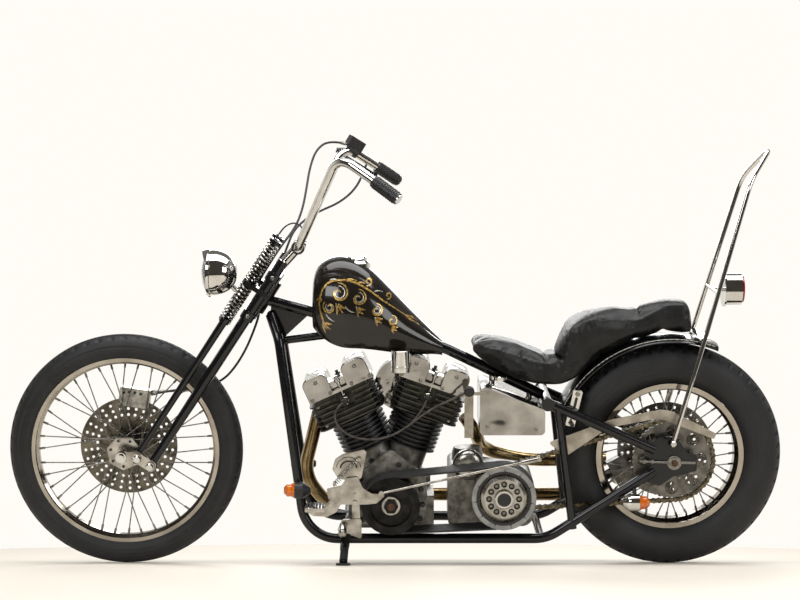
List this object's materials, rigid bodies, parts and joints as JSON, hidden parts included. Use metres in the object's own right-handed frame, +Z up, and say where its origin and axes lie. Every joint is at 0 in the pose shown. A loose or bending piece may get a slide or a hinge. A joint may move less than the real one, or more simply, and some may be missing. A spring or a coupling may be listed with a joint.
{
  "type": "chopper motorcycle",
  "caption": "Rigid-frame chopper motorcycle with springer fork, air-cooled V-twin, open belt primary, wire wheels, tall handlebar and sissy bar, leaning on its side stand.",
  "frame": {"origin": "centre of the leaning motorcycle's bounding box footprint, on the floor", "axes": "+Z up, the nose points to -X, the side stand and the lean are on the -Y (left) side"},
  "size_m": [2.2888, 0.8542, 1.2983],
  "materials": {
    "black_paint": "gloss black paint",
    "tank_paint": "gloss dark brown-black paint with gold and silver scrolls",
    "chrome": "mirror chrome",
    "polished_alloy": "polished aluminium",
    "cast_alloy": "cast aluminium, matt",
    "steel": "machined steel",
    "black_iron": "black heat paint on iron fins",
    "tyre": "black rubber",
    "rubber": "black rubber",
    "leather": "black stitched leather",
    "clear_glass": "clear lens",
    "amber_lens": "amber lens",
    "red_lens": "red lens"
  },
  "bodies": {
    "frame": {"air_cleaner": "chrome", "brake_pedal": "polished_alloy", "chain_guard": "chrome", "clutch": "cast_alloy", "crankcase": "cast_alloy", "cylinder_barrels": "black_iron", "cylinder_heads": "cast_alloy", "drive_chain": "steel", "exhaust_pipes": "chrome", "foot_clutch": "polished_alloy", "frame_rail_left": "black_paint", "frame_rail_right": "black_paint", "frame_spine": "black_paint", "front_pulley": "black_paint", "fuel_cap": "chrome", "fuel_tank": "tank_paint", "gearbox": "cast_alloy", "ignition_parts": "chrome", "oil_tank": "chrome", "primary_belt": "rubber", "primary_plate": "cast_alloy", "rear_axle": "steel", "rear_caliper": "polished_alloy", "rear_fender": "black_paint", "rocker_covers": "polished_alloy", "seat": "leather", "signal_lenses": "amber_lens", "sissy_bar": "chrome", "tail_lamp": "chrome", "tail_lens": "red_lens", "timing_side": "cast_alloy", "turn_signals": "black_paint"},
    "fork": {"fork_legs": "black_paint", "spring_legs": "black_paint", "fork_springs": "chrome", "steering_trees": "black_paint", "fork_rockers": "black_paint", "front_axle": "chrome", "headlamp_shell": "chrome", "headlamp_lens": "clear_glass", "handlebar": "chrome", "handlebar_risers": "chrome", "grips": "rubber", "brake_master": "black_paint", "front_caliper": "polished_alloy"},
    "front_wheel": {"front_tyre": "tyre", "front_rim": "chrome", "front_hub": "chrome", "front_disc": "steel"},
    "rear_wheel": {"rear_tyre": "tyre", "rear_rim": "chrome", "rear_hub": "chrome", "rear_disc": "steel", "rear_sprocket": "steel"},
    "side_stand": {"side_stand": "black_paint"}
  },
  "joints": [
    {"name": "steering", "type": "hinge", "parent": "frame", "child": "fork", "pos_m": [-0.3655, -0.00424, 0.80914], "axis": [0.5476, -0.2024, 0.8119], "range_deg": [-30, 30]},
    {"name": "front_wheel_spin", "type": "hinge", "parent": "fork", "child": "front_wheel", "pos_m": [-0.7985, 0.11333, 0.33758], "axis": [0, 0.9703, 0.2419], "continuous": true},
    {"name": "rear_wheel_spin", "type": "hinge", "parent": "frame", "child": "rear_wheel", "pos_m": [0.8115, 0.11648, 0.32497], "axis": [0, 0.9703, 0.2419], "continuous": true},
    {"name": "side_stand_fold", "type": "hinge", "parent": "frame", "child": "side_stand", "pos_m": [-0.1455, 0.01565, 0.05557], "axis": [0.145, -0.6853, 0.7137], "range_deg": [0, 78]}
  ]
}
